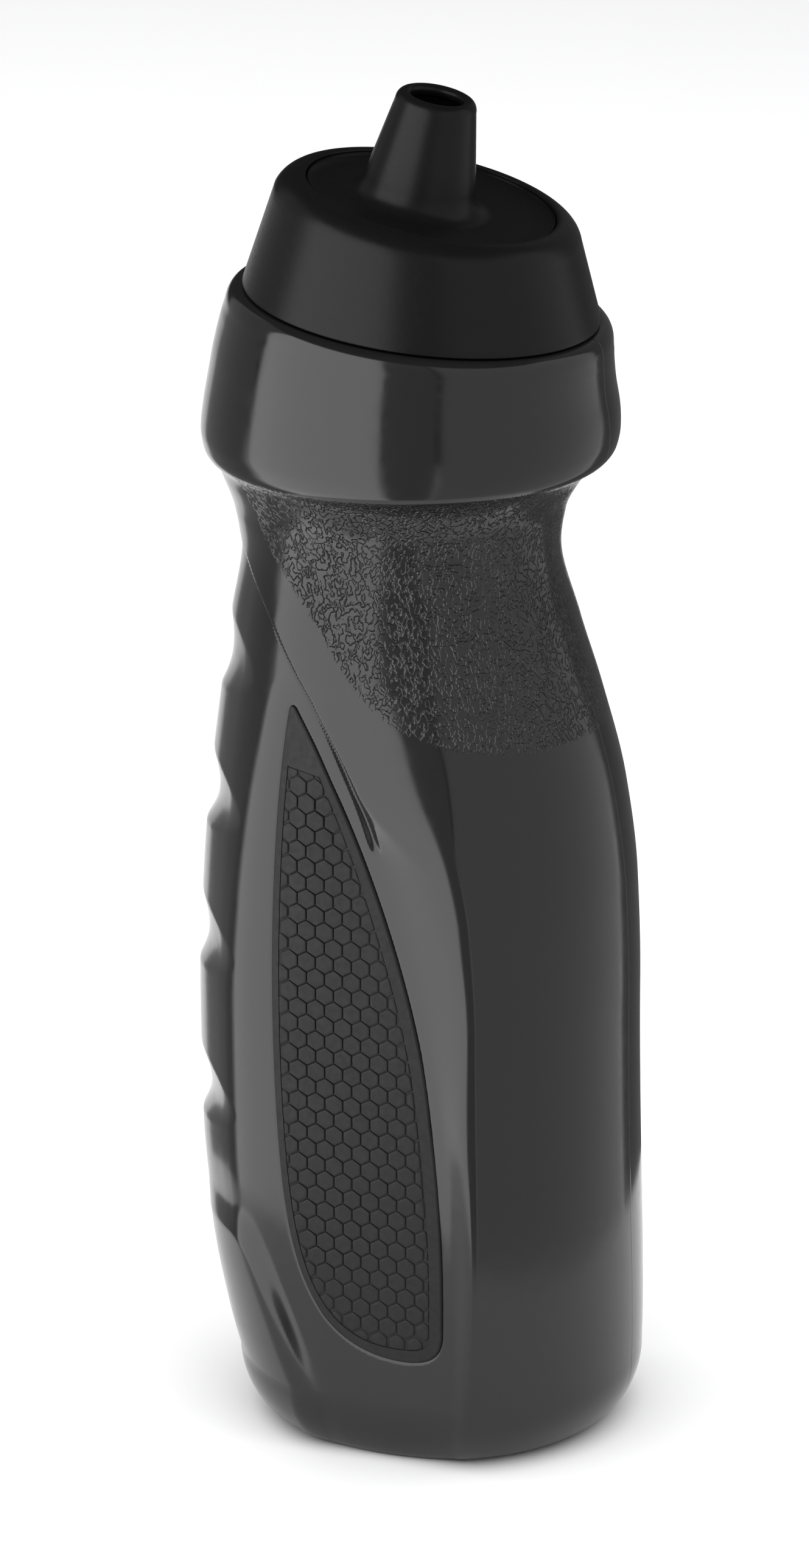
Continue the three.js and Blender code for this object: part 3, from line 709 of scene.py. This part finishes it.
def lid_shell(material):
    """One closed skin, from the port up the pocket, over the crest, down outside and back up inside."""
    rings = []
    # pocket for the insert, from the port outwards and up to the crest
    for radius, height in [
        (LID_PORT, INSERT_POCKET_FLOOR - 0.9), (LID_PORT, INSERT_POCKET_FLOOR - 0.1),
        (LID_PORT + 0.15, INSERT_POCKET_FLOOR), (INSERT_POCKET - 0.3, INSERT_POCKET_FLOOR),
        (INSERT_POCKET, INSERT_POCKET_FLOOR + 0.3), (INSERT_POCKET, -0.3),
        (INSERT_POCKET + 0.04, -0.12), (INSERT_POCKET + 0.14, -0.03), (RIM_RADIUS, 0),
    ]:
        rings.append(rim_ring(radius, height))
    # rounded shoulder
    for degrees in np.arange(6, 76, 5):
        t = math.radians(degrees)
        rings.append(rim_ring(RIM_RADIUS + LID_SHOULDER * math.sin(t), -LID_SHOULDER * (1 - math.cos(t))))
    # tapered side down to the seam
    top, seam = rings[-1], neck_ring(LID_SEAM_RADIUS, 0)
    for t in np.linspace(0, 1, 14)[1:-1]:
        rings.append(top * (1 - t) + seam * t)
    drop = (top - seam) / np.linalg.norm(top - seam, axis=1)[:, None]
    rings.append(seam + drop * 0.5)
    rings.append(seam + drop * 0.22 + neck_ring(LID_SEAM_RADIUS - 0.05, 0) - seam)
    # foot of the outer wall, up the gap, round the inner skirt and up the bore to the ceiling
    for radius, height in [
        (LID_SEAM_RADIUS - 0.2, 0.03), (LID_SEAM_RADIUS - 0.5, 0), (30.2, 0), (29.95, 0.15), (29.8, 0.6),
        (INNER_SKIRT + 1.1, SKIRT_GAP_TOP - 2), (INNER_SKIRT + 0.4, SKIRT_GAP_TOP),
        (INNER_SKIRT, SKIRT_GAP_TOP), (INNER_SKIRT, 1.4), (INNER_SKIRT - 0.25, 1.05),
        (INNER_SKIRT - 0.6, INNER_SKIRT_FOOT), (LID_BORE + 0.5, INNER_SKIRT_FOOT),
        (LID_BORE + 0.12, 1.15), (LID_BORE, 1.5), (LID_BORE, LID_CEILING - 0.4),
        (LID_BORE - 0.4, LID_CEILING), (LID_PORT + 2.2, LID_CEILING),
    ]:
        rings.append(neck_ring(radius, height))
    points = np.concatenate(rings)
    faces = [face[::-1] for face in grid_faces(len(rings), ROUND_SEGMENTS, closed=True)]
    start = THREAD_START - LEAD / 2
    ridge = helix_ridge(LID_BORE + 0.3, LID_THREAD_CREST, start, LID_THREAD_TURN, THREAD_TURNS)
    points, faces = joined([(points, faces), ridge])
    return mesh_object("lid_shell_skin", points, faces, material)


def spout_insert(material):
    """The dish and nozzle as one closed skin."""
    rings = [
        rim_ring(DISH_RADIUS - 0.2, DISH_UNDERSIDE), rim_ring(DISH_RADIUS, DISH_UNDERSIDE + 0.2),
        rim_ring(DISH_RADIUS, -0.55), rim_ring(DISH_RADIUS - 0.06, -0.42), rim_ring(DISH_RADIUS - 0.2, -0.37),
    ]
    for degrees in np.arange(80, -1, -8):
        t = math.radians(degrees)
        radius = DISH_RADIUS - DISH_BLEND * (1 - math.sin(t))
        rings.append(rim_ring(radius, DISH_EDGE + (DISH_FLOOR - DISH_EDGE) * math.cos(t)))
    # concave foot of the nozzle, its cone and rolled lip
    foot = np.array([SPOUT_FOOT_RADIUS + 3.2, DISH_FLOOR])
    knee = np.array([SPOUT_FOOT_RADIUS - 0.25, DISH_FLOOR + 0.15])
    neck = np.array([SPOUT_FOOT_RADIUS - 0.85, DISH_FLOOR + 4.2])
    for t in np.linspace(0, 1, 12):
        rings.append(spout_ring(*(foot * (1 - t) ** 2 + 2 * knee * t * (1 - t) + neck * t * t)))
    shoulder = np.array([SPOUT_TIP_RADIUS, SPOUT_TOP - 1.9])
    for t in np.linspace(0, 1, 8)[1:]:
        rings.append(spout_ring(*(neck * (1 - t) + shoulder * t)))
    for degrees in np.arange(12, 91, 13):
        t = math.radians(degrees)
        radius = SPOUT_TIP_RADIUS - 1.5 * (1 - math.cos(t))
        rings.append(spout_ring(radius, SPOUT_TOP - 1.9 + 1.9 * math.sin(t)))
    # down the bore to the valve's seat, round the collar and back to the dish
    for radius, height in [
        (SPOUT_HOLE + 0.75, SPOUT_TOP - 0.05), (SPOUT_HOLE + 0.35, SPOUT_TOP - 0.22),
        (SPOUT_HOLE + 0.1, SPOUT_TOP - 0.5), (SPOUT_HOLE, SPOUT_TOP - 0.9), (SPOUT_HOLE, SPOUT_TOP - 1.7),
        (SPOUT_HOLE + 0.15, SPOUT_TOP - 1.85), (5.35, SPOUT_TOP - 1.9), (5.5, SPOUT_TOP - 2.1), (5.9, 6),
        (6.5, VALVE_SEAT + 0.1), (6.6, VALVE_SEAT), (VALVE_SEAT_RADIUS, VALVE_SEAT),
        (VALVE_SEAT_RADIUS, SPOUT_COLLAR_FOOT + 0.2), (VALVE_SEAT_RADIUS + 0.2, SPOUT_COLLAR_FOOT),
        (SPOUT_COLLAR - 0.2, SPOUT_COLLAR_FOOT), (SPOUT_COLLAR, SPOUT_COLLAR_FOOT + 0.2),
        (SPOUT_COLLAR, DISH_UNDERSIDE - 0.4), (SPOUT_COLLAR + 0.4, DISH_UNDERSIDE),
    ]:
        rings.append(spout_ring(radius, height))
    points = np.concatenate(rings)
    return mesh_object("spout_skin", points, grid_faces(len(rings), ROUND_SEGMENTS, closed=True), material)


def turned_ring(name, ring_at, inner, outer, bottom, top, corner, material):
    """A ring with rounded corners; ring_at is neck_ring or spout_ring."""
    outline = rounded([(inner, bottom), (outer, bottom), (outer, top), (inner, top)], corner)
    rings = [ring_at(radius, height) for radius, height in outline]
    points = np.concatenate(rings)
    return mesh_object(name, points, grid_faces(len(rings), ROUND_SEGMENTS, closed=True), material)


# ---------------------------------------------------------------- materials

# Surface texture; widths and depths are in metres
GRAIN_SCALE = 980
GRAIN_VALLEY = 0.08                          # half width of a valley, as a share of the noise
GRAIN_DEPTH = 0.00022
GRAIN_STRETCH = (1, 1, 0.8)
PARTING_WIDTH = 0.00022
PARTING_DEPTH = 0.00006
WAVE_DEPTH = 0.00006
FINE_DEPTH = 0.0000012


def new_material(name, color, roughness, specular):
    material = bpy.data.materials.new(name)
    material.use_nodes = True
    nodes, links = material.node_tree.nodes, material.node_tree.links
    shader = nodes["Principled BSDF"]
    shader.inputs["Base Color"].default_value = (*color, 1)
    shader.inputs["Roughness"].default_value = roughness
    shader.inputs["Specular IOR Level"].default_value = specular
    position = nodes.new("ShaderNodeTexCoord").outputs["Object"]
    return material, nodes, links, shader, position


def math_node(nodes, links, operation, *values):
    node = nodes.new("ShaderNodeMath")
    node.operation = operation
    for socket, value in zip(node.inputs, values):
        if isinstance(value, (int, float)):
            socket.default_value = value
        else:
            links.new(value, socket)
    return node.outputs[0]


def noise_node(nodes, links, position, scale, detail=2.0, roughness=0.5):
    node = nodes.new("ShaderNodeTexNoise")
    node.inputs["Scale"].default_value = scale
    node.inputs["Detail"].default_value = detail
    node.inputs["Roughness"].default_value = roughness
    links.new(position, node.inputs["Vector"])
    return node.outputs["Fac"]


def ranged(nodes, links, value, low, high, to_low, to_high):
    node = nodes.new("ShaderNodeMapRange")
    node.inputs["From Min"].default_value = low
    node.inputs["From Max"].default_value = high
    node.inputs["To Min"].default_value = to_low
    node.inputs["To Max"].default_value = to_high
    links.new(value, node.inputs["Value"])
    return node.outputs["Result"]


def add_bump(nodes, links, shader, height, distance):
    """Adds a bump of a real depth in metres, on top of any earlier one."""
    node = nodes.new("ShaderNodeBump")
    node.inputs["Strength"].default_value = 1
    node.inputs["Distance"].default_value = distance
    links.new(height, node.inputs["Height"])
    if shader.inputs["Normal"].is_linked:
        links.new(shader.inputs["Normal"].links[0].from_socket, node.inputs["Normal"])
    links.new(node.outputs["Normal"], shader.inputs["Normal"])


def tone(nodes, links, shader, fac, dark, light):
    """Base colour that drifts between two close shades."""
    node = nodes.new("ShaderNodeMix")
    node.data_type = "RGBA"
    node.inputs["A"].default_value = (*dark, 1)
    node.inputs["B"].default_value = (*light, 1)
    links.new(fac, node.inputs["Factor"])
    links.new(node.outputs["Result"], shader.inputs["Base Color"])


def body_material():
    material, nodes, links, shader, position = new_material(
        "bottle_charcoal", (0.02, 0.02, 0.021), 0.16, 0.42)
    tone(nodes, links, shader, noise_node(nodes, links, position, 35, 3), (0.0075, 0.0075, 0.0078),
         (0.009, 0.009, 0.0093))
    attribute = nodes.new("ShaderNodeAttribute")
    attribute.attribute_name = "grain"
    grain = attribute.outputs["Fac"]
    # leather grain: short meandering valleys where a smooth noise crosses its middle
    stretch = nodes.new("ShaderNodeVectorMath")
    stretch.operation = "MULTIPLY"
    stretch.inputs[1].default_value = GRAIN_STRETCH
    links.new(position, stretch.inputs[0])
    worms = noise_node(nodes, links, stretch.outputs[0], GRAIN_SCALE, 1.2, 0.4)
    worms = math_node(nodes, links, "SUBTRACT", worms, 0.5)
    worms = math_node(nodes, links, "ABSOLUTE", worms)
    worms = ranged(nodes, links, worms, 0.0, GRAIN_VALLEY, 1, 0)
    patch = ranged(nodes, links, noise_node(nodes, links, position, 300, 2), 0.3, 0.5, 0.45, 1)
    leather = math_node(nodes, links, "MULTIPLY", worms, patch)
    leather = math_node(nodes, links, "MULTIPLY", leather, grain)
    leather = math_node(nodes, links, "SUBTRACT", 1.0, leather)
    # fine moulding texture and the parting line in the middle plane
    fine = noise_node(nodes, links, position, 900, 2)
    waves = noise_node(nodes, links, position, 60, 2)
    split = nodes.new("ShaderNodeSeparateXYZ")
    links.new(position, split.inputs[0])
    seam = math_node(nodes, links, "ABSOLUTE", split.outputs["Y"])
    seam = ranged(nodes, links, seam, 0.0, PARTING_WIDTH, 1, 0)
    speckle = ranged(nodes, links, noise_node(nodes, links, position, 420, 1), 0.2, 0.8, 0.13, 0.18)
    rough = math_node(nodes, links, "MULTIPLY_ADD", grain, 0.03, speckle)
    links.new(rough, shader.inputs["Roughness"])
    add_bump(nodes, links, shader, waves, WAVE_DEPTH)
    add_bump(nodes, links, shader, fine, FINE_DEPTH)
    add_bump(nodes, links, shader, seam, PARTING_DEPTH)
    add_bump(nodes, links, shader, leather, GRAIN_DEPTH)
    return material


def pad_material():
    material, nodes, links, shader, position = new_material("pad_rubber", (0.013, 0.013, 0.0135), 0.62, 0.24)
    tone(nodes, links, shader, noise_node(nodes, links, position, 140, 4, 0.6), (0.0065, 0.0065, 0.0068),
         (0.0095, 0.0095, 0.0098))
    rough = ranged(nodes, links, noise_node(nodes, links, position, 900, 3, 0.6), 0.3, 0.7, 0.52, 0.68)
    links.new(rough, shader.inputs["Roughness"])
    add_bump(nodes, links, shader, noise_node(nodes, links, position, 2600, 3, 0.6), 0.00002)
    return material


def lid_material():
    material, nodes, links, shader, position = new_material(
        "lid_satin_black", (0.005, 0.005, 0.0055), 0.33, 0.17)
    tone(nodes, links, shader, noise_node(nodes, links, position, 60, 3), (0.003, 0.003, 0.0032),
         (0.0042, 0.0042, 0.0045))
    rough = ranged(nodes, links, noise_node(nodes, links, position, 1400, 3, 0.6), 0.3, 0.7, 0.3, 0.38)
    links.new(rough, shader.inputs["Roughness"])
    add_bump(nodes, links, shader, noise_node(nodes, links, position, 1800, 3, 0.6), 0.000008)
    return material


def seal_material():
    material, nodes, links, shader, position = new_material("seal_silicone", (0.02, 0.02, 0.021), 0.5, 0.4)
    shader.inputs["Subsurface Weight"].default_value = 0.05
    shader.inputs["Subsurface Radius"].default_value = (0.001, 0.001, 0.001)
    tone(nodes, links, shader, noise_node(nodes, links, position, 200, 3), (0.018, 0.018, 0.019),
         (0.026, 0.026, 0.027))
    rough = ranged(nodes, links, noise_node(nodes, links, position, 1500, 2), 0.3, 0.7, 0.44, 0.56)
    links.new(rough, shader.inputs["Roughness"])
    add_bump(nodes, links, shader, noise_node(nodes, links, position, 2000, 2), 0.00001)
    return material


def floor_material():
    material, nodes, links, shader, position = new_material("pale_floor", (0.9, 0.9, 0.9), 0.6, 0.2)
    tone(nodes, links, shader, noise_node(nodes, links, position, 3, 2), (0.88, 0.88, 0.88), (0.9, 0.9, 0.9))
    return material


# ---------------------------------------------------------------- assembly

def place(piece, body, slot, *nodes):
    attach(piece, body)
    if nodes:
        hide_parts(*nodes)


charcoal = body_material()
rubber = pad_material()
satin = lid_material()
silicone = seal_material()

place(bottle_body(charcoal), "bottle", "body", "bottle_body")
left_pad, right_pad = grip_pads(rubber)
place(left_pad, "bottle", "pad", "grip_pad_left")
place(right_pad, "bottle", "pad", "grip_pad_right")
place(lid_shell(satin), "lid", "lid", "lid_shell")
place(spout_insert(satin), "lid", "lid", "spout_insert")
gasket = turned_ring(
    "gasket_skin", neck_ring, GASKET_INNER, GASKET_OUTER, GASKET_BOTTOM, GASKET_TOP, 0.3, silicone)
place(gasket, "lid_seal", "seal", "lid_gasket")
valve = turned_ring(
    "valve_ring_skin", spout_ring, VALVE_INNER, VALVE_OUTER, VALVE_BOTTOM, VALVE_TOP, 0.2, silicone)
place(valve, "lid", "seal", "valve_ring")
retainer = turned_ring(
    "retainer_skin", spout_ring, RETAINER_INNER, VALVE_OUTER, RETAINER_BOTTOM, RETAINER_TOP, 0.3, satin)
place(retainer, "lid", "retainer", "valve_retainer")
for name, node in frame["nodes"].items():
    if name.startswith("valve_petal"):
        for material_slot in node.material_slots:
            material_slot.material = silicone


# ---------------------------------------------------------------- studio, in metres

CAMERA_AZIMUTH = math.radians(20)
CAMERA_ELEVATION = math.radians(19.2)
CAMERA_DISTANCE = 1.3
CAMERA_LENS = 167.0
CAMERA_TARGET = ((-6.5 + CENTRING) * MM, -2.37 * MM, 119 * MM)

FLOOR_REACH = 12
WORLD_STRENGTH = 0.03
LIGHT_TARGET = (0, 0, 0.12)
# Soft lights: [name, place, width, height, power in watts]
LIGHTS = [
    ["top_light", (0, -0.1, 1.2), 3.2, 3.2, 68],
    ["left_light", (-0.5, -0.6, 0.3), 0.6, 0.5, 1.4],
    ["right_light", (0.6, -0.4, 0.3), 0.6, 0.5, 1.0],
]

# Reflectors and flags: [name, first bearing, last bearing, luminance]
CARD_DISTANCE = 0.13
CARD_FOOT = 0.001
CARD_HEIGHT = 0.34
CARD_POINTS = 24
CARDS = [
    ["left_flag", -205, -160, 0.35],
    ["left_reflector", -156, -86, 3.2],
    ["front_flag", -84, -60, 0.42],
    ["right_reflector", -57, 42, 0.85],
    ["right_flag", 45, 89, 0.15],
]


def look_at(thing, target):
    thing.rotation_mode = "QUATERNION"
    thing.rotation_quaternion = (Vector(target) - thing.location).to_track_quat("-Z", "Y")


def add_camera():
    camera = bpy.data.objects.new("camera", bpy.data.cameras.new("camera"))
    camera.data.lens = CAMERA_LENS
    camera.data.sensor_width = 36
    across, up = math.cos(CAMERA_ELEVATION), math.sin(CAMERA_ELEVATION)
    back = Vector((math.sin(CAMERA_AZIMUTH) * across, -math.cos(CAMERA_AZIMUTH) * across, up))
    camera.location = Vector(CAMERA_TARGET) + back * CAMERA_DISTANCE
    look_at(camera, CAMERA_TARGET)
    camera.data.clip_start = 0.05
    camera.data.clip_end = 50
    bpy.context.scene.collection.objects.link(camera)
    bpy.context.scene.camera = camera


def add_light(name, spot, width, height, power):
    """A large soft light aimed at the bottle, which does not show in reflections."""
    light = bpy.data.lights.new(name, "AREA")
    light.shape = "RECTANGLE"
    light.size = width
    light.size_y = height
    light.energy = power
    lamp = bpy.data.objects.new(name, light)
    lamp.location = spot
    look_at(lamp, LIGHT_TARGET)
    lamp.visible_camera = False
    lamp.visible_glossy = False
    bpy.context.scene.collection.objects.link(lamp)


def add_card(name, first, last, luminance):
    """An upright curved card round the bottle between two bearings, in degrees from the front.
    It stands outside the picture and only shows as a reflection."""
    bearings = np.radians(np.linspace(first, last, CARD_POINTS))
    around = [(CARD_DISTANCE * math.cos(t), CARD_DISTANCE * math.sin(t)) for t in bearings]
    points = [(x, y, z) for z in (CARD_FOOT, CARD_HEIGHT) for x, y in around]
    count = len(around)
    faces = [(k, k + 1, count + k + 1, count + k) for k in range(count - 1)]
    mesh = bpy.data.meshes.new(name)
    mesh.from_pydata(points, [], faces)
    material = bpy.data.materials.new(name)
    material.use_nodes = True
    shader = material.node_tree.nodes["Principled BSDF"]
    shader.inputs["Base Color"].default_value = (0, 0, 0, 1)
    shader.inputs["Specular IOR Level"].default_value = 0
    shader.inputs["Emission Color"].default_value = (1, 1, 1, 1)
    shader.inputs["Emission Strength"].default_value = luminance
    mesh.materials.append(material)
    card = bpy.data.objects.new(name, mesh)
    card.visible_camera = False
    card.visible_diffuse = False
    card.visible_shadow = False
    bpy.context.scene.collection.objects.link(card)


def add_floor():
    reach = FLOOR_REACH
    corners = [(-reach, -reach, 0), (reach, -reach, 0), (reach, reach, 0), (-reach, reach, 0)]
    mesh = bpy.data.meshes.new("floor")
    mesh.from_pydata(corners, [], [(0, 1, 2, 3)])
    mesh.materials.append(floor_material())
    floor = bpy.data.objects.new("floor", mesh)
    bpy.context.scene.collection.objects.link(floor)


def add_world():
    world = bpy.data.worlds.new("studio")
    world.use_nodes = True
    background = world.node_tree.nodes["Background"]
    background.inputs["Color"].default_value = (0.95, 0.96, 1.0, 1)
    background.inputs["Strength"].default_value = WORLD_STRENGTH
    bpy.context.scene.world = world
    bpy.context.scene.view_settings.view_transform = "Standard"


add_camera()
add_floor()
add_world()
for name, spot, width, height, power in LIGHTS:
    add_light(name, spot, width, height, power)
for name, first, last, luminance in CARDS:
    add_card(name, first, last, luminance)
